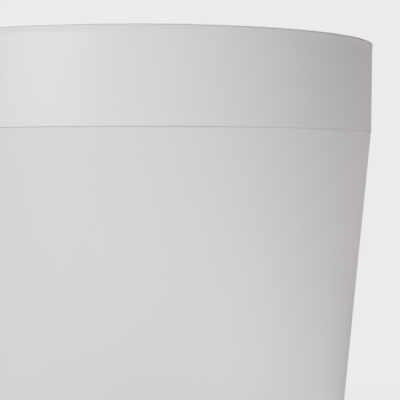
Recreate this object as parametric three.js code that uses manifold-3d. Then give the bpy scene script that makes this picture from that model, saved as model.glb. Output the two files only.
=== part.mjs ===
// A round wastebasket in two moulded pieces, on four soft feet: a tapered bucket, and a collar that lifts off
// and drops over the bucket's neck to hide and hold the top of a bin liner.
// Millimetres, +Z up. The origin is on the floor, on the bucket's axis.
import * as THREE from "three";
import { mergeVertices } from "three/addons/utils/BufferGeometryUtils.js";
import Module from "manifold-3d";

const wasm = await Module();
wasm.setup();

// Driving dimensions.
const height = 280; // floor to the top of the collar
const rimRadius = 125; // outer face of the collar, at its top
const bandHeight = 45.5; // outer face of the collar, edge to edge
const bandDraft = 0.0119; // how much the collar widens for each millimetre up
const wallTaper = 0.0995; // how much the bucket widens for each millimetre up
const touchGap = 0.3; // left between two pieces that touch
const roundSteps = 60; // facets round the axis

// Bucket.
const bucketWall = 2.2;
const flushStep = 0.15; // the bucket's shoulder is this much inside the collar's lower edge
const footRingWidth = 3;
const floorTop = 12; // inside floor, at its edge
const floorThickness = 2.5;
const floorCrown = 1.2; // the floor is this much higher at its middle
const neckWall = 2;
const neckDraft = 0.005;
const neckTop = height - 10;
const rampTop = 3; // the inside wall starts to lean in to the neck this far below the shoulder
const rampHeight = 7;

// Collar.
const collarWall = 1.8;
const linerGap = 0.9; // room for a folded liner, between the neck and the collar
const lipProud = 0.3; // the lip stands proud of the band
const lipTop = 0.75; // below the rim, where the lip starts back to the band
const lipFoot = 1.9;
const rimEdge = 0.45; // outer edge of the rim
const rimWidth = 8.2;
const rimThickness = 2.4;
const innerSkirtDepth = 22;
const innerSkirtDraft = 0.02;

// Ribs, keys and feet.
const guideRib = { count: 12, width: 2, proud: 0.5, bottom: 4, top: 30 }; // bottom and top are above the shoulder
const web = { count: 24, thickness: 1.6, clearance: 0.5 };
const key = { count: 4, thickness: 2.4, depth: 6, sideGap: 0.5 };
const floorRib = { count: 8, thickness: 1.8, bottom: 5 };
const hubRadius = 13;
const pad = { count: 4, radius: 7, proud: 1.5, seat: 1.7, circle: 84, fillet: 0.8 };
const boss = { radius: 10, steps: 20 };

const seamZ = height - bandHeight;
const shoulderZ = seamZ - touchGap;
const bandRadius = (z) => rimRadius - bandDraft * (height - z);
const shoulderRadius = bandRadius(seamZ) - flushStep;
const bucketRadius = (z) => shoulderRadius - wallTaper * (shoulderZ - z);
const neckRadius = (z) => bandRadius(seamZ) - collarWall - linerGap + neckDraft * (z - shoulderZ);
const floorUnder = floorTop - floorThickness;
const ribTop = floorTop - 0.5; // floor ribs and bosses end inside the floor's own thickness

// Materials.
const satinWhite = new THREE.MeshStandardMaterial({ color: 0xe9e9e8, roughness: 0.42, metalness: 0 });
const padGrey = new THREE.MeshStandardMaterial({ color: 0xb9b9b6, roughness: 0.85, metalness: 0 });

// An outline from corners [radius, z, fillet, arc steps]; a fillet of 0 keeps the corner sharp.
function outline(corners) {
  const points = [];
  corners.forEach(([r, z, fillet = 0, steps = 2], i) => {
    const corner = new THREE.Vector2(r, z);
    if (!fillet) {
      points.push(corner);
      return;
    }
    const last = corners.length - 1;
    const before = corners[i === 0 ? last : i - 1];
    const after = corners[i === last ? 0 : i + 1];
    const toBefore = new THREE.Vector2(before[0] - r, before[1] - z).normalize();
    const toAfter = new THREE.Vector2(after[0] - r, after[1] - z).normalize();
    const halfAngle = Math.acos(toBefore.dot(toAfter)) / 2;
    const centre = toBefore.clone().add(toAfter).normalize().multiplyScalar(fillet / Math.sin(halfAngle)).add(corner);
    const reach = fillet / Math.tan(halfAngle);
    const start = toBefore.multiplyScalar(reach).add(corner).sub(centre);
    const end = toAfter.multiplyScalar(reach).add(corner).sub(centre);
    const turn = (Math.PI - 2 * halfAngle) * Math.sign(start.cross(end));
    for (let step = 0; step <= steps; step++) {
      points.push(start.clone().rotateAround(new THREE.Vector2(), (turn * step) / steps).add(centre));
    }
  });
  return points;
}

// A three.js geometry as a manifold-3d solid.
function solid(geometry) {
  const bare = geometry.clone();
  bare.deleteAttribute("normal");
  bare.deleteAttribute("uv");
  const merged = mergeVertices(bare, 1e-4);
  return new wasm.Manifold(
    new wasm.Mesh({
      numProp: 3,
      vertProperties: new Float32Array(merged.attributes.position.array),
      triVerts: new Uint32Array(merged.index.array),
    }),
  );
}

// A manifold-3d solid as a named mesh.
function mesh(name, made, material) {
  const data = made.getMesh();
  const geometry = new THREE.BufferGeometry();
  geometry.setAttribute("position", new THREE.BufferAttribute(new Float32Array(data.vertProperties), 3));
  geometry.setIndex(new THREE.BufferAttribute(data.triVerts, 1));
  geometry.computeVertexNormals();
  const part = new THREE.Mesh(geometry, material);
  part.name = name;
  return part;
}

// The outline turned about the Z axis. One that keeps clear of the axis is closed on itself first.
function turned(points, steps = roundSteps) {
  if (points[0].x > 0) points.push(points[0]);
  return solid(new THREE.LatheGeometry(points, steps).rotateX(Math.PI / 2));
}

// A box on the +X side, from radius inner to outer and from bottom to top, then turned to each of count angles.
function spokes({ count, thickness, inner, outer, bottom, top, offset = 0 }) {
  const spoke = new THREE.BoxGeometry(outer - inner, thickness, top - bottom);
  spoke.translate((inner + outer) / 2, 0, (bottom + top) / 2);
  return Array.from({ length: count }, (_, i) =>
    solid(spoke.clone().rotateZ(offset + (i * 2 * Math.PI) / count)),
  );
}

// An upright cylinder.
function post(radius, bottom, top, x = 0, y = 0) {
  const cylinder = new THREE.CylinderGeometry(radius, radius, top - bottom, boss.steps);
  cylinder.rotateX(Math.PI / 2).translate(x, y, (bottom + top) / 2);
  return solid(cylinder);
}

const padPlaces = Array.from({ length: pad.count }, (_, i) => {
  const angle = ((i + 0.5) * 2 * Math.PI) / pad.count;
  return [pad.circle * Math.cos(angle), pad.circle * Math.sin(angle)];
});

// The bucket: tapered wall on a foot ring, crowned floor with ribs under it, and a stepped-in neck.
function bucket() {
  const inner = (z) => bucketRadius(z) - bucketWall;
  const rampFoot = shoulderZ - rampTop - rampHeight;
  let made = turned(
    outline([
      [0, floorUnder + floorCrown],
      [bucketRadius(pad.proud) - footRingWidth, floorUnder, 1.5],
      [bucketRadius(pad.proud) - footRingWidth, pad.proud, 0.8],
      [bucketRadius(pad.proud), pad.proud, 4, 4],
      [shoulderRadius, shoulderZ, 0.4],
      [neckRadius(shoulderZ), shoulderZ, 0.5],
      [neckRadius(neckTop), neckTop, 0.8],
      [neckRadius(neckTop) - neckWall, neckTop, 0.8],
      [neckRadius(shoulderZ) - neckWall, shoulderZ - rampTop, 3],
      [inner(rampFoot), rampFoot, 3],
      [inner(floorTop), floorTop, 8, 4],
      [0, floorTop + floorCrown],
    ]),
  );
  const ribs = spokes({
    count: guideRib.count,
    thickness: guideRib.width,
    inner: neckRadius(neckTop) - neckWall / 2,
    outer: neckRadius(shoulderZ) + guideRib.proud,
    bottom: shoulderZ + guideRib.bottom,
    top: shoulderZ + guideRib.top,
    offset: Math.PI / guideRib.count,
  });
  const under = spokes({
    count: floorRib.count,
    thickness: floorRib.thickness,
    inner: hubRadius - 2,
    outer: bucketRadius(pad.proud) - footRingWidth / 2,
    bottom: floorRib.bottom,
    top: ribTop,
  });
  const hub = post(hubRadius, floorRib.bottom, ribTop).subtract(post(hubRadius - 3, 0, ribTop - 0.5));
  const bosses = padPlaces.map(([x, y]) => post(boss.radius, pad.proud, ribTop, x, y));
  for (const piece of [...ribs, ...under, hub, ...bosses]) made = made.add(piece);
  const socketTop = pad.proud + pad.seat + touchGap;
  for (const [x, y] of padPlaces) made = made.subtract(post(pad.radius + touchGap, 0, socketTop, x, y));
  const notches = spokes({
    count: key.count,
    thickness: key.thickness + 2 * key.sideGap,
    inner: neckRadius(neckTop) - neckWall - 2,
    outer: neckRadius(neckTop) + 2,
    bottom: neckTop - key.depth - touchGap,
    top: neckTop + 2,
  });
  for (const notch of notches) made = made.subtract(notch);
  return mesh("bucket", made, satinWhite);
}

// The collar: outer band, lipped rim and a shorter inner skirt, joined by webs. Four deeper webs drop into the
// neck's notches and stop it turning.
function collar() {
  const insideTop = height - rimThickness;
  const innerFace = rimRadius + lipProud - rimWidth;
  const skirtBottom = height - innerSkirtDepth;
  const skirtLean = innerSkirtDraft * innerSkirtDepth;
  let made = turned(
    outline([
      [bandRadius(seamZ) - collarWall, seamZ, 0.4],
      [bandRadius(seamZ), seamZ, 0.4],
      [bandRadius(height - lipFoot), height - lipFoot],
      [rimRadius + lipProud, height - lipTop],
      [rimRadius + lipProud, height, rimEdge],
      [innerFace, height, 2.4, 4],
      [innerFace - skirtLean, skirtBottom, 0.7],
      [innerFace - skirtLean + collarWall, skirtBottom, 0.7],
      [innerFace + collarWall, insideTop, 0.6],
      [bandRadius(insideTop) - collarWall, insideTop, 0.6],
    ]),
  );
  const channel = { inner: innerFace + collarWall / 2, outer: bandRadius(seamZ) - collarWall / 2, top: height - 1 };
  const webs = spokes({
    ...channel,
    count: web.count,
    thickness: web.thickness,
    bottom: neckTop + web.clearance,
    offset: Math.PI / web.count,
  });
  const keys = spokes({
    ...channel,
    count: key.count,
    thickness: key.thickness,
    bottom: neckTop - key.depth,
  });
  for (const piece of [...webs, ...keys]) made = made.add(piece);
  return mesh("liner_collar", made, satinWhite);
}

// A foot pad: a soft disc, rounded where it meets the floor.
function footPad(name, [x, y]) {
  const top = pad.proud + pad.seat;
  const made = turned(
    outline([
      [0, 0],
      [pad.radius, 0, pad.fillet, 3],
      [pad.radius, top],
      [0, top],
    ]),
    boss.steps,
  );
  return mesh(name, made.translate([x, y, 0]), padGrey);
}

const padNames = ["foot_pad_rear_right", "foot_pad_rear_left", "foot_pad_front_left", "foot_pad_front_right"];

const wastebasket = new THREE.Group();
wastebasket.name = "wastebasket";
wastebasket.add(bucket(), collar(), ...padNames.map((name, i) => footPad(name, padPlaces[i])));

export default wastebasket;
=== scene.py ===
import math

import bpy
from mathutils import Matrix, Vector


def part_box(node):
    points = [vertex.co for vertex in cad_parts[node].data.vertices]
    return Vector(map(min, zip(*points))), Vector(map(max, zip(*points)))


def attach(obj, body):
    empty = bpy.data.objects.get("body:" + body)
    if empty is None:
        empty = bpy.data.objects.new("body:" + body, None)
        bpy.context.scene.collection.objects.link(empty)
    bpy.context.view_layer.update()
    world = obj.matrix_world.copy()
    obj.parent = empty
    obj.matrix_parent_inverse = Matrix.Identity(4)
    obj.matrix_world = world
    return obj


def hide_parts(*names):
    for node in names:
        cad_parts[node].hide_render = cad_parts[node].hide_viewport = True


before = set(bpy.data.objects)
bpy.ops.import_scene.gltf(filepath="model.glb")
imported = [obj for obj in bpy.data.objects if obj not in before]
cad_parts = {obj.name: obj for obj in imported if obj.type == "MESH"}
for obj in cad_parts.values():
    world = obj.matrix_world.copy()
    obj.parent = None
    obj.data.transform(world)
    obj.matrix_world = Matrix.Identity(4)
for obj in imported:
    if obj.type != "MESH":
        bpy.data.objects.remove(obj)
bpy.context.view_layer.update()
scene = bpy.context.scene
mm = 0.001


# Node trees, for shapes and for finishes.


class Wire:
    # a node's output that Python's own operators work on
    def __init__(self, graph, socket):
        self.graph = graph
        self.socket = socket

    def __add__(self, other):
        return self.graph.maths("ADD", self, other)

    def __radd__(self, other):
        return self.graph.maths("ADD", other, self)

    def __sub__(self, other):
        return self.graph.maths("SUBTRACT", self, other)

    def __rsub__(self, other):
        return self.graph.maths("SUBTRACT", other, self)

    def __mul__(self, other):
        return self.graph.maths("MULTIPLY", self, other)

    def __rmul__(self, other):
        return self.graph.maths("MULTIPLY", other, self)

    def __truediv__(self, other):
        return self.graph.maths("DIVIDE", self, other)


class Graph:
    # a node tree, and one method that adds any node to it
    def __init__(self, tree):
        self.tree = tree

    def add(self, kind, settings=None, inputs=None):
        node = self.tree.nodes.new(kind)
        for name, value in (settings or {}).items():
            setattr(node, name, value)
        for name, value in (inputs or {}).items():
            socket = self.find(node.inputs, name)
            for one in value if isinstance(value, list) else [value]:
                if isinstance(one, Wire):
                    self.tree.links.new(one.socket, socket)
                else:
                    socket.default_value = one
        return lambda output=0: Wire(self, self.find(node.outputs, output))

    def find(self, sockets, name):
        return next((s for s in sockets if s.identifier == name), None) or sockets[name]

    def maths(self, operation, *values):
        return self.add("ShaderNodeMath", {"operation": operation}, dict(enumerate(values)))()

    def vector(self, x=0.0, y=0.0, z=0.0):
        return self.add("ShaderNodeCombineXYZ", inputs={"X": x, "Y": y, "Z": z})()


def newShape(name, sizes):
    # a geometry tree with named sizes; their starting values say whether each is a length or a count
    tree = bpy.data.node_groups.new(name, "GeometryNodeTree")
    tree.interface.new_socket("Geometry", in_out="INPUT", socket_type="NodeSocketGeometry")
    for label, value in sizes.items():
        kind = "NodeSocketInt" if isinstance(value, int) else "NodeSocketFloat"
        tree.interface.new_socket(label, in_out="INPUT", socket_type=kind).default_value = value
    tree.interface.new_socket("Material", in_out="INPUT", socket_type="NodeSocketMaterial")
    tree.interface.new_socket("Geometry", in_out="OUTPUT", socket_type="NodeSocketGeometry")
    graph = Graph(tree)
    return graph, graph.add("NodeGroupInput")


def endShape(graph, given, geometry, creaseAngle=35):
    # smooth faces, with a crease kept wherever two faces meet at more than the angle
    smooth = graph.add("GeometryNodeSetShadeSmooth", {"domain": "FACE"}, {"Geometry": geometry})()
    bend = graph.add("GeometryNodeInputMeshEdgeAngle")("Unsigned Angle")
    creased = graph.add(
        "GeometryNodeSetShadeSmooth",
        {"domain": "EDGE"},
        {
            "Geometry": smooth,
            "Selection": graph.maths("GREATER_THAN", bend, math.radians(creaseAngle)),
            "Shade Smooth": False,
        },
    )()
    whole = graph.add("GeometryNodeRealizeInstances", inputs={"Geometry": creased})()
    painted = graph.add(
        "GeometryNodeSetMaterial", inputs={"Geometry": whole, "Material": given("Material")}
    )()
    graph.add("NodeGroupOutput", inputs={"Geometry": painted})
    return graph.tree


def grow(name, mesh, tree, material, values):
    # runs a geometry tree on a mesh and keeps the result as a plain mesh, with no modifier left
    plan = bpy.data.objects.new(name + "_plan", mesh)
    scene.collection.objects.link(plan)
    modifier = plan.modifiers.new("grow", "NODES")
    modifier.node_group = tree
    for item in tree.interface.items_tree:
        if item.in_out == "INPUT" and item.name in values:
            modifier[item.identifier] = values[item.name]
        elif item.in_out == "INPUT" and item.name == "Material":
            modifier[item.identifier] = material
    made = bpy.data.meshes.new_from_object(plan.evaluated_get(bpy.context.evaluated_depsgraph_get()))
    made.name = name
    plan.modifiers.clear()
    bpy.data.objects.remove(plan)
    return made


def showPiece(name, mesh, body, slot, *stoodFor):
    piece = bpy.data.objects.new(name, mesh)
    scene.collection.objects.link(piece)
    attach(piece, body)
    if stoodFor:
        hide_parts(*stoodFor)
    print(f"{name}: {len(mesh.polygons)} faces")
    return piece


def makeTurnedShape():
    # sweeps an outline round the axis; every corner of it brings its own fillet and arc steps
    graph, given = newShape("turned", {"Facets": 192, "Sweep Radius": 0.05})
    outline = graph.add("GeometryNodeMeshToCurve", inputs={"Mesh": given("Geometry")})()
    fillet = graph.add("GeometryNodeInputNamedAttribute", {"data_type": "FLOAT"}, {"Name": "fillet"})()
    steps = graph.add("GeometryNodeInputNamedAttribute", {"data_type": "INT"}, {"Name": "arcSteps"})()
    rounded = graph.add(
        "GeometryNodeFilletCurve", {"mode": "POLY"}, {"Curve": outline, "Count": steps, "Radius": fillet}
    )()
    sweepRadius = given("Sweep Radius")
    # the sweep's own axes point outwards and down, so the outline goes in from the radius and upside down
    section = graph.add(
        "GeometryNodeTransform",
        inputs={"Geometry": rounded, "Translation": graph.vector(0 - sweepRadius), "Scale": (1, -1, 1)},
    )()
    circle = graph.add(
        "GeometryNodeCurvePrimitiveCircle", inputs={"Resolution": given("Facets"), "Radius": sweepRadius}
    )()
    upright = graph.add("GeometryNodeSetCurveNormal", {"mode": "Z_UP"}, {"Curve": circle})()
    swept = graph.add("GeometryNodeCurveToMesh", inputs={"Curve": upright, "Profile Curve": section})()
    outwards = graph.add("GeometryNodeFlipFaces", inputs={"Mesh": swept})()
    closed = graph.add("GeometryNodeMergeByDistance", inputs={"Geometry": outwards, "Distance": 1e-6})()
    return endShape(graph, given, closed)


def addSpokes(graph, given):
    # upright ribs with rounded corners, standing out from the axis like spokes
    inner, outer, bottom = given("Inner"), given("Outer"), given("Bottom")
    plan = graph.add(
        "GeometryNodeCurvePrimitiveQuadrilateral",
        inputs={"Width": outer - inner, "Height": given("Thickness")},
    )()
    rounded = graph.add(
        "GeometryNodeFilletCurve", {"mode": "POLY"}, {"Curve": plan, "Count": 4, "Radius": given("Corner")}
    )()
    foot = graph.add("GeometryNodeFillCurve", {"mode": "NGONS"}, {"Curve": rounded})()
    raised = graph.add(
        "GeometryNodeExtrudeMesh",
        inputs={
            "Mesh": foot,
            "Offset": (0, 0, 1),
            "Offset Scale": given("Top") - bottom,
            "Individual": False,
        },
    )("Mesh")
    under = graph.add("GeometryNodeFlipFaces", inputs={"Mesh": foot})()
    both = graph.add("GeometryNodeJoinGeometry", inputs={"Geometry": [raised, under]})()
    rib = graph.add("GeometryNodeMergeByDistance", inputs={"Geometry": both, "Distance": 1e-6})()
    placed = graph.add(
        "GeometryNodeTransform",
        inputs={"Geometry": rib, "Translation": graph.vector((inner + outer) / 2, 0, bottom)},
    )()
    return addRing(graph, given, placed)


def addRing(graph, given, geometry):
    # copies of a shape, evenly round the axis from the angle Turn
    count = given("Count")
    angle = given("Turn") + graph.add("GeometryNodeInputIndex")() * (2 * math.pi) / count
    copies = graph.add(
        "GeometryNodeInstanceOnPoints",
        inputs={
            "Points": graph.add("GeometryNodePoints", inputs={"Count": count})(),
            "Instance": geometry,
            "Rotation": graph.vector(0, 0, angle),
        },
    )()
    return graph.add("GeometryNodeRealizeInstances", inputs={"Geometry": copies})()


spokeSizes = {
    "Count": 8,
    "Inner": 0.0,
    "Outer": 0.0,
    "Thickness": 0.0,
    "Bottom": 0.0,
    "Top": 0.0,
    "Corner": 0.0,
    "Turn": 0.0,
}


def makeSpokeShape():
    graph, given = newShape("spokes", spokeSizes)
    return endShape(graph, given, addSpokes(graph, given))


def makeNotchShape():
    # cuts the spokes out of what it is given
    graph, given = newShape("notches", spokeSizes)
    cut = graph.add(
        "GeometryNodeMeshBoolean",
        {"operation": "DIFFERENCE", "solver": "MANIFOLD"},
        {"Mesh 1": given("Geometry"), "Mesh 2": [addSpokes(graph, given)]},
    )("Mesh")
    return endShape(graph, given, cut)


def makeRingShape():
    graph, given = newShape("ring", {"Count": 4, "Turn": 0.0})
    return endShape(graph, given, addRing(graph, given, given("Geometry")))


shapes = {
    "turned": makeTurnedShape(),
    "spokes": makeSpokeShape(),
    "notches": makeNotchShape(),
    "ring": makeRingShape(),
}


def roundedOutline(corners, steady=0.25):
    # corners are (radius, height, fillet, arc steps), or (radius, height) for a sharp one
    # a point just past each end of an arc keeps the straight stretch beyond it shading straight
    points = []
    for index, (radius, height, *arc) in enumerate(corners):
        if not arc:
            points.append((radius, height, 0, 0))
            continue
        fillet, steps = arc
        here = Vector((radius, height))
        sides = [Vector(corners[(index + step) % len(corners)][:2]) - here for step in (-1, 1)]
        reach = fillet / math.tan(sides[0].angle(sides[1]) / 2) + steady
        before, after = (here + side.normalized() * reach for side in sides)
        points += [(*before, 0, 0), (radius, height, fillet, steps), (*after, 0, 0)]
    return points


def turnedMesh(name, corners, material, closed=True, facets=192):
    points = roundedOutline(corners)
    links = [(index, index + 1) for index in range(len(points) - 1)]
    if closed:
        links.append((len(points) - 1, 0))
    outline = bpy.data.meshes.new(name + "_outline")
    outline.from_pydata([(radius * mm, height * mm, 0) for radius, height, _, _ in points], links, [])
    fillets = outline.attributes.new("fillet", "FLOAT", "POINT")
    fillets.data.foreach_set("value", [point[2] * mm for point in points])
    arcSteps = outline.attributes.new("arcSteps", "INT", "POINT")
    arcSteps.data.foreach_set("value", [point[3] for point in points])
    return grow(name, outline, shapes["turned"], material, {"Facets": facets})


def ribValues(ribs, inner, outer, bottom, top, turn=0.0):
    return {
        "Count": ribs["count"],
        "Thickness": ribs["thickness"] * mm,
        "Corner": ribs["corner"] * mm,
        "Inner": inner * mm,
        "Outer": outer * mm,
        "Bottom": bottom * mm,
        "Top": top * mm,
        "Turn": turn,
    }


def noMesh(name):
    return bpy.data.meshes.new(name + "_none")


# Finishes.


def mottle(graph, coordinates, size, detail=2.0, roughness=0.5, squash=(1, 1, 1)):
    # soft noise about 0.5, with marks of about the given size in metres
    stretched = graph.add("ShaderNodeMapping", inputs={"Vector": coordinates, "Scale": squash})()
    noise = {"Vector": stretched, "Scale": 1 / size, "Detail": detail, "Roughness": roughness}
    return graph.add("ShaderNodeTexNoise", inputs=noise)("Fac")


def fade(graph, value, start, end):
    # 0 at start, 1 at end, easing at both
    limits = {"Value": value, "From Min": start, "From Max": end}
    return graph.add("ShaderNodeMapRange", {"interpolation_type": "SMOOTHSTEP"}, limits)()


def mixColour(graph, factor, first, second):
    inputs = {"Factor_Float": factor, "A_Color": (*first, 1), "B_Color": (*second, 1)}
    return graph.add("ShaderNodeMix", {"data_type": "RGBA"}, inputs)("Result_Color")


def newFinish(name):
    material = bpy.data.materials.new(name)
    material.use_nodes = True
    material.node_tree.nodes.clear()
    graph = Graph(material.node_tree)
    return material, graph, graph.add("ShaderNodeTexCoord")("Object")


plastic = {
    "light": (0.803, 0.795, 0.802),
    "dark": (0.779, 0.772, 0.776),
    "ior": 1.49,
    "roughness": 0.42,
    "roughnessSpread": 0.07,
    "grainSize": 0.0006,
    "grainHeight": 0.000006,
    "swellSize": 0.045,
    "swellHeight": 0.00005,
}


def makePlastic(name, drift):
    # satin polypropylene: fine sparked grain, a faint swell from shrinkage, and slow changes of gloss
    material, graph, coordinates = newFinish(name)
    place = graph.add("ShaderNodeMapping", inputs={"Vector": coordinates, "Location": drift})()
    cloud = mottle(graph, place, 0.06, detail=3.0)
    speck = mottle(graph, place, 0.0025, detail=4.0, roughness=0.6)
    flow = mottle(graph, place, 0.012, squash=(1, 1, 0.12))
    shade = 0.5 * cloud + 0.3 * flow + 0.2 * speck
    colour = mixColour(graph, shade, plastic["dark"], plastic["light"])
    sheen = 0.5 * cloud + 0.3 * speck + 0.2 * flow - 0.5
    gloss = plastic["roughness"] + plastic["roughnessSpread"] * sheen
    grain = mottle(graph, place, plastic["grainSize"], detail=1.0)
    swell = mottle(graph, place, plastic["swellSize"], detail=0.0)
    broad = graph.add(
        "ShaderNodeBump", inputs={"Strength": 1.0, "Distance": plastic["swellHeight"], "Height": swell}
    )()
    normal = graph.add(
        "ShaderNodeBump",
        inputs={"Strength": 1.0, "Distance": plastic["grainHeight"], "Height": grain, "Normal": broad},
    )()
    shader = graph.add(
        "ShaderNodeBsdfPrincipled",
        inputs={"Base Color": colour, "Roughness": gloss, "IOR": plastic["ior"], "Normal": normal},
    )()
    graph.add("ShaderNodeOutputMaterial", inputs={"Surface": shader})
    return material


rubber = {
    "light": (0.52, 0.52, 0.51),
    "dark": (0.46, 0.46, 0.45),
    "roughness": 0.8,
    "roughnessSpread": 0.1,
    "grainHeight": 0.00004,
}


def makeRubber():
    # soft grey elastomer, matt and slightly dusty
    material, graph, coordinates = newFinish("pad_rubber")
    cloud = mottle(graph, coordinates, 0.004, detail=3.0)
    grain = mottle(graph, coordinates, 0.0004, detail=2.0)
    normal = graph.add(
        "ShaderNodeBump", inputs={"Strength": 1.0, "Distance": rubber["grainHeight"], "Height": grain}
    )()
    shader = graph.add(
        "ShaderNodeBsdfPrincipled",
        inputs={
            "Base Color": mixColour(graph, cloud, rubber["dark"], rubber["light"]),
            "Roughness": rubber["roughness"] + rubber["roughnessSpread"] * (cloud - 0.5),
            "Normal": normal,
        },
    )()
    graph.add("ShaderNodeOutputMaterial", inputs={"Surface": shader})
    return material


bucketPlastic = makePlastic("bucket_plastic", (0, 0, 0))
collarPlastic = makePlastic("collar_plastic", (0.3, 0.2, 0.1))
padRubber = makeRubber()


# The collar.

collarLow, collarHigh = (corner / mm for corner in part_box("liner_collar"))
rimTop = collarHigh.z
rimRadius = collarHigh.x
seamHeight = collarLow.z

collar = {
    "wall": 1.8,
    "draft": 0.0119,  # the band widens by this for each millimetre up
    "lipProud": 0.2,
    "lipTop": 0.75,  # below the rim, where the lip starts back to the band
    "lipFoot": 3.4,
    "rimEdge": 0.45,
    "rimWidth": 8.2,
    "rimThickness": 2.4,
    "skirtDepth": 22,
    "skirtLean": 0.44,
    "seamEdge": 0.09,
    "closing": 0.12,  # the lower edge comes this much nearer to the bucket's shoulder
    "ribSink": 1,  # webs and keys reach to this far below the rim's top face
    "webs": {"count": 24, "thickness": 1.6, "corner": 0.3},
    "keys": {"count": 4, "thickness": 2.4, "corner": 0.4},
    "webFoot": 9.5,  # below the rim
    "keyFoot": 16,
}


def bandRadius(height):
    return rimRadius - collar["lipProud"] - collar["draft"] * (rimTop - height)


def makeCollar():
    foot = seamHeight - collar["closing"]
    wall = collar["wall"]
    lipFoot = rimTop - collar["lipFoot"]
    innerFace = rimRadius - collar["rimWidth"]
    skirtFoot = rimTop - collar["skirtDepth"]
    skirtFace = innerFace - collar["skirtLean"]
    inside = rimTop - collar["rimThickness"]
    corners = [
        (bandRadius(foot) - wall, foot, 0.3, 5),
        (bandRadius(foot), foot, collar["seamEdge"], 8),
        (bandRadius(lipFoot), lipFoot, 2.4, 6),
        (rimRadius, rimTop - collar["lipTop"], 0.6, 5),
        (rimRadius, rimTop, collar["rimEdge"], 10),
        (innerFace, rimTop, 2.4, 12),
        (skirtFace, skirtFoot, 0.7, 8),
        (skirtFace + wall, skirtFoot, 0.7, 8),
        (innerFace + wall, inside, 0.6, 6),
        (bandRadius(inside) - wall, inside, 0.6, 6),
    ]
    showPiece(
        "collar_ring",
        turnedMesh("collar_ring", corners, collarPlastic),
        "collar",
        "collar_plastic",
        "liner_collar",
    )
    inner = innerFace + wall / 2
    outer = bandRadius(seamHeight) - wall / 2
    halfStep = math.pi / collar["webs"]["count"]
    for name, kind, foot, turn in [
        ("collar_webs", "webs", "webFoot", halfStep),
        ("collar_keys", "keys", "keyFoot", 0.0),
    ]:
        bottom, top = rimTop - collar[foot], rimTop - collar["ribSink"]
        values = ribValues(collar[kind], inner, outer, bottom, top, turn)
        ribs = grow(name, noMesh(name), shapes["spokes"], collarPlastic, values)
        showPiece(name, ribs, "collar", "collar_plastic")


makeCollar()


# The bucket.

bucketLow, bucketHigh = (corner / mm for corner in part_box("bucket"))
footHeight = bucketLow.z
neckTop = bucketHigh.z

bucket = {
    "taper": 0.0995,  # the wall leans out by this for each millimetre up
    "wall": 2.2,
    "shoulderStep": 0.15,  # the shoulder is inside the collar's lower edge
    "shoulderDrop": 0.3,
    "shoulderEdge": 0.16,
    "closing": 0.12,  # the shoulder comes this much nearer to the collar
    "footRing": 3,
    "floorTop": 12,
    "floorThickness": 2.5,
    "floorCrown": 1.2,
    "neckWall": 2,
    "neckGap": 2.7,  # from the collar's outer face in to the neck's
    "neckDraft": 0.005,
    "rampTop": 3,
    "rampFoot": 10,
    "guides": {"count": 12, "thickness": 2, "corner": 0.5},
    "guideProud": 0.5,
    "guideFoot": 4,  # above the shoulder, as is the top
    "guideTop": 30,
    "notches": {"count": 4, "thickness": 3.4, "corner": 0.4},
    "notchDepth": 6.3,
    "floorRibs": {"count": 8, "thickness": 1.8, "corner": 0.3},
    "ribFoot": 5,
    "ribSink": 0.5,  # ribs, hub and sockets end this far below the floor's top face
    "hubRadius": 13,
    "hubWall": 2.5,
    "crownInset": 9,
    "ejectorMarks": {"count": 8, "circle": 62, "radius": 4, "proud": 0.15},
    "gate": {"tip": 1.8, "root": 3.2, "length": 1.4},
}


def shoulderHeight():
    return seamHeight - bucket["shoulderDrop"] + bucket["closing"]


def wallRadius(height):
    return bandRadius(seamHeight) - bucket["shoulderStep"] - bucket["taper"] * (shoulderHeight() - height)


def neckRadius(height):
    return bandRadius(seamHeight) - bucket["neckGap"] + bucket["neckDraft"] * (height - shoulderHeight())


def ribTop():
    return bucket["floorTop"] - bucket["ribSink"]


def crownEdge():
    return wallRadius(bucket["floorTop"]) - bucket["wall"] - bucket["crownInset"]


def crownHeight(radius, edge):
    return bucket["floorCrown"] * (1 - (radius / edge) ** 2)


def crownPoints(base, edge, steps=4):
    # the floor's slight dome, from near its edge in to the axis
    radii = [edge * (1 - step / steps) for step in range(1, steps + 1)]
    return [(radius, base + crownHeight(radius, edge)) for radius in radii]


def addRibs(name, ribs, inner, outer, bottom, top, turn=0.0):
    values = ribValues(ribs, inner, outer, bottom, top, turn)
    mesh = grow(name, noMesh(name), shapes["spokes"], bucketPlastic, values)
    showPiece(name, mesh, "base", "bucket_plastic")


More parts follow.
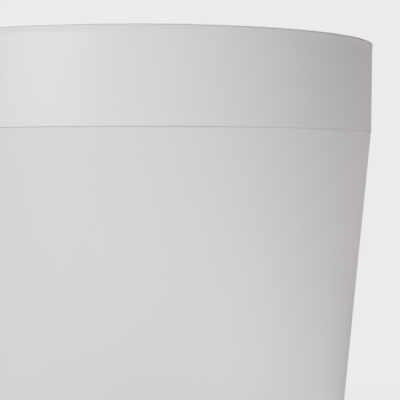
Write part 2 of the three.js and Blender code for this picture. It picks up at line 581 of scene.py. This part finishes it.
def makeBucket():
    wall, neckWall, shoulder = bucket["wall"], bucket["neckWall"], shoulderHeight()
    rampTop, rampFoot = shoulder - bucket["rampTop"], shoulder - bucket["rampFoot"]
    floorTop = bucket["floorTop"]
    floorUnder = floorTop - bucket["floorThickness"]
    ringInside = wallRadius(footHeight) - bucket["footRing"]
    corners = [
        *reversed(crownPoints(floorUnder, ringInside - 3)),
        (ringInside, floorUnder, 1.5, 5),
        (ringInside, footHeight, 0.8, 6),
        (wallRadius(footHeight), footHeight, 4, 10),
        (wallRadius(shoulder), shoulder, bucket["shoulderEdge"], 10),
        (neckRadius(shoulder), shoulder, 0.5, 5),
        (neckRadius(neckTop), neckTop, 0.8, 8),
        (neckRadius(neckTop) - neckWall, neckTop, 0.8, 8),
        (neckRadius(shoulder) - neckWall, rampTop, 3, 6),
        (wallRadius(rampFoot) - wall, rampFoot, 3, 6),
        (wallRadius(floorTop) - wall, floorTop, 8, 12),
        *crownPoints(floorTop, crownEdge()),
    ]
    shell = turnedMesh("bucket_shell", corners, bucketPlastic, closed=False)
    notches = ribValues(
        bucket["notches"],
        neckRadius(neckTop) - neckWall - 2,
        neckRadius(neckTop) + 2,
        neckTop - bucket["notchDepth"],
        neckTop + 2,
    )
    notched = grow("bucket_shell", shell, shapes["notches"], bucketPlastic, notches)
    showPiece("bucket_shell", notched, "base", "bucket_plastic", "bucket")
    addRibs(
        "neck_guides",
        bucket["guides"],
        neckRadius(neckTop) - neckWall / 2,
        neckRadius(shoulder) + bucket["guideProud"],
        shoulder + bucket["guideFoot"],
        shoulder + bucket["guideTop"],
        math.pi / bucket["guides"]["count"],
    )
    hubRadius, ribFoot = bucket["hubRadius"], bucket["ribFoot"]
    reach = wallRadius(footHeight) - bucket["footRing"] / 2
    addRibs("floor_ribs", bucket["floorRibs"], hubRadius - 1.5, reach, ribFoot, ribTop())
    bore = hubRadius - bucket["hubWall"]
    hub = [(bore, ribFoot, 0.3, 3), (hubRadius, ribFoot, 0.3, 3), (hubRadius, ribTop()), (bore, ribTop())]
    showPiece("floor_hub", turnedMesh("floor_hub", hub, bucketPlastic, facets=64), "base", "bucket_plastic")


def makeMouldMarks():
    # what moulding leaves on the floor: a ring of ejector pin marks on top, and the cut gate underneath
    marks, gate = bucket["ejectorMarks"], bucket["gate"]
    face = bucket["floorTop"] + crownHeight(marks["circle"], crownEdge()) + marks["proud"]
    corners = [(0, face - 1), (marks["radius"], face - 1), (marks["radius"], face, 0.05, 2), (0, face)]
    disc = turnedMesh("ejector_mark", corners, bucketPlastic, closed=False, facets=32)
    disc.transform(Matrix.Translation((marks["circle"] * mm, 0, 0)))
    values = {"Count": marks["count"], "Turn": math.pi / marks["count"]}
    discs = grow("ejector_marks", disc, shapes["ring"], bucketPlastic, values)
    showPiece("ejector_marks", discs, "base", "bucket_plastic")
    under = bucket["floorTop"] - bucket["floorThickness"] + bucket["floorCrown"]
    foot = under - gate["length"]
    corners = [(0, foot), (gate["tip"], foot, 0.2, 3), (gate["root"], under + 0.5), (0, under + 0.5)]
    stub = turnedMesh("gate_mark", corners, bucketPlastic, closed=False, facets=32)
    showPiece("gate_mark", stub, "base", "bucket_plastic")


makeBucket()
makeMouldMarks()


# The foot pads, and the sockets that hold them.

pad = {
    "names": ["foot_pad_rear_right", "foot_pad_rear_left", "foot_pad_front_left", "foot_pad_front_right"],
    "toe": 0.8,
    "socketGap": 0.15,
    "socketWall": 2.4,
}


def makePads():
    padLow, padHigh = (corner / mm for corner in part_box(pad["names"][0]))
    radius = (padHigh.x - padLow.x) / 2
    circle = math.hypot((padLow.x + padHigh.x) / 2, (padLow.y + padHigh.y) / 2)
    corners = [(0, 0), (radius, 0, pad["toe"], 8), (radius, padHigh.z, 0.2, 3), (0, padHigh.z)]
    for name in pad["names"]:
        low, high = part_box(name)
        mesh = turnedMesh(name + "_soft", corners, padRubber, closed=False, facets=48)
        mesh.transform(Matrix.Translation(((low.x + high.x) / 2, (low.y + high.y) / 2, 0)))
        showPiece(name + "_soft", mesh, "base", "pad_rubber", name)
    bore = radius + pad["socketGap"]
    rim = bore + pad["socketWall"]
    corners = [
        (0, padHigh.z + pad["socketGap"]),
        (bore, padHigh.z + pad["socketGap"], 0.2, 3),
        (bore, footHeight, 0.3, 3),
        (rim, footHeight, 0.3, 3),
        (rim, ribTop()),
        (0, ribTop()),
    ]
    socket = turnedMesh("pad_socket", corners, bucketPlastic, closed=False, facets=48)
    socket.transform(Matrix.Translation((circle * mm, 0, 0)))
    sockets = grow("pad_sockets", socket, shapes["ring"], bucketPlastic, {"Count": 4, "Turn": math.pi / 4})
    showPiece("pad_sockets", sockets, "base", "bucket_plastic")


makePads()


# The studio.

studio = {
    "backdrop": 0.835,
    "floorColour": 0.66,
    "floorBounce": 0.3,  # the light it gives back, kept low so that the cards can shape it
    "floorRadius": 12.0,
    "fadeStart": 0.15,
    "fadeEnd": 0.8,
    "floorLift": 0.35,  # how much of the plain backdrop is already mixed in beside the basket
    "ambience": 0.12,
    "aimHeight": 0.15,
    "boxDistance": 1.4,
    "cardHeight": 0.004,
}

# softboxes hang in the air and face the basket; bounce cards lie on the floor and face up
# turn goes round the basket from the camera's side towards its right, and rise is the angle above level
softboxes = [
    {"name": "key", "turn": -35, "rise": 20, "size": 0.8, "power": 7.97, "colour": (0.985, 0.98, 1)},
    {"name": "front", "turn": 10, "rise": 5, "size": 0.8, "power": 1.74, "colour": (0.985, 0.985, 1)},
    {"name": "right", "turn": 120, "rise": 8, "size": 0.8, "power": 0.58, "colour": (1, 0.93, 0.87)},
    {"name": "rightRear", "turn": 146, "rise": 8, "size": 0.8, "power": 0.89, "colour": (1, 0.95, 0.9)},
    {"name": "top", "turn": -60, "rise": 70, "size": 1.4, "power": 16.6, "colour": (1, 1, 1)},
    {"name": "rear", "turn": 180, "rise": 12, "size": 0.9, "power": 12, "colour": (1, 1, 1)},
]
cards = [
    {"name": "frontCard", "turn": -5, "away": 0.44, "size": 0.36, "power": 0.36, "colour": (1, 0.995, 0.985)},
    {"name": "rightCard", "turn": 45, "away": 0.44, "size": 0.36, "power": 1.01, "colour": (1, 0.965, 0.955)},
    {"name": "leftCard", "turn": -50, "away": 0.3, "size": 0.25, "power": 0.115, "colour": (1, 1, 1)},
    {"name": "sideCard", "turn": 92, "away": 0.3, "size": 0.25, "power": 0.342, "colour": (1, 0.98, 0.97)},
    {"name": "rearCard", "turn": 180, "away": 0.6, "size": 0.5, "power": 0.8, "colour": (1, 1, 1)},
]

mainView = {
    "lens": 128.7,
    "sensor": 36,
    "clipStart": 0.01,
    "distance": 0.75935,
    "height": 0.2133,
    "turn": 2.618,
    "tilt": -1.058,
    "roll": 0.109,
}


def makeFloor():
    # lit near the basket, and easing into the plain backdrop further out
    material, graph, coordinates = newFinish("studio_floor")
    distance = graph.add("ShaderNodeVectorMath", {"operation": "LENGTH"}, {0: coordinates})("Value")
    seen = graph.add("ShaderNodeLightPath")("Is Camera Ray")
    bounce, colour = [[studio[name]] * 3 for name in ("floorBounce", "floorColour")]
    lit = graph.add("ShaderNodeBsdfDiffuse", inputs={"Color": mixColour(graph, seen, bounce, colour)})()
    backdrop = (*[studio["backdrop"]] * 3, 1)
    plain = graph.add("ShaderNodeEmission", inputs={"Color": backdrop, "Strength": seen})()
    far = fade(graph, distance, studio["fadeStart"], studio["fadeEnd"])
    mixed = studio["floorLift"] + (1 - studio["floorLift"]) * far
    surface = graph.add("ShaderNodeMixShader", inputs={"Fac": mixed, 1: lit, 2: plain})()
    graph.add("ShaderNodeOutputMaterial", inputs={"Surface": surface})
    mesh = bpy.data.meshes.new("studio_floor")
    corners = 96
    turns = [2 * math.pi * index / corners for index in range(corners)]
    reach = studio["floorRadius"]
    mesh.from_pydata([(reach * math.cos(t), reach * math.sin(t), 0) for t in turns], [], [range(corners)])
    mesh.materials.append(material)
    floor = bpy.data.objects.new("studio_floor", mesh)
    scene.collection.objects.link(floor)


def makeWorld():
    world = bpy.data.worlds.new("studio")
    world.use_nodes = True
    world.node_tree.nodes.clear()
    graph = Graph(world.node_tree)
    seen = graph.add("ShaderNodeLightPath")("Is Camera Ray")
    level = seen * studio["backdrop"] + (1 - seen) * studio["ambience"]
    light = graph.add("ShaderNodeBackground", inputs={"Strength": level, "Color": (1, 1, 1, 1)})()
    graph.add("ShaderNodeOutputWorld", inputs={"Surface": light})
    scene.world = world


def addLight(box, place, facing):
    light = bpy.data.lights.new(box["name"], "AREA")
    light.shape = "SQUARE"
    light.size = box["size"]
    light.energy = box["power"]
    light.color = box["colour"]
    holder = bpy.data.objects.new(box["name"], light)
    holder.location = place
    holder.rotation_euler = (-facing).to_track_quat("Z", "Y").to_euler()
    holder.visible_camera = False
    scene.collection.objects.link(holder)


def makeLights():
    middle = Vector((0, 0, studio["aimHeight"]))
    for box in softboxes:
        turn, rise = math.radians(box["turn"]), math.radians(box["rise"])
        away = Vector((math.sin(turn) * math.cos(rise), -math.cos(turn) * math.cos(rise), math.sin(rise)))
        addLight(box, middle + away * studio["boxDistance"], -away)
    for card in cards:
        turn = math.radians(card["turn"])
        place = Vector((math.sin(turn), -math.cos(turn), 0)) * card["away"]
        addLight(card, place + Vector((0, 0, studio["cardHeight"])), Vector((0, 0, 1)))


def makeCamera():
    camera = bpy.data.cameras.new("camera")
    camera.lens = mainView["lens"]
    camera.sensor_width = mainView["sensor"]
    camera.clip_start = mainView["clipStart"]
    holder = bpy.data.objects.new("camera", camera)
    holder.location = (0, -mainView["distance"], mainView["height"])
    turn, tilt, roll = (math.radians(mainView[angle]) for angle in ("turn", "tilt", "roll"))
    holder.rotation_euler = (math.pi / 2 + tilt, roll, -turn)
    scene.collection.objects.link(holder)
    scene.camera = holder


makeFloor()
makeWorld()
makeLights()
makeCamera()
print(f"studio: {len(softboxes)} softboxes, {len(cards)} bounce cards")
scene.view_settings.view_transform = "Standard"
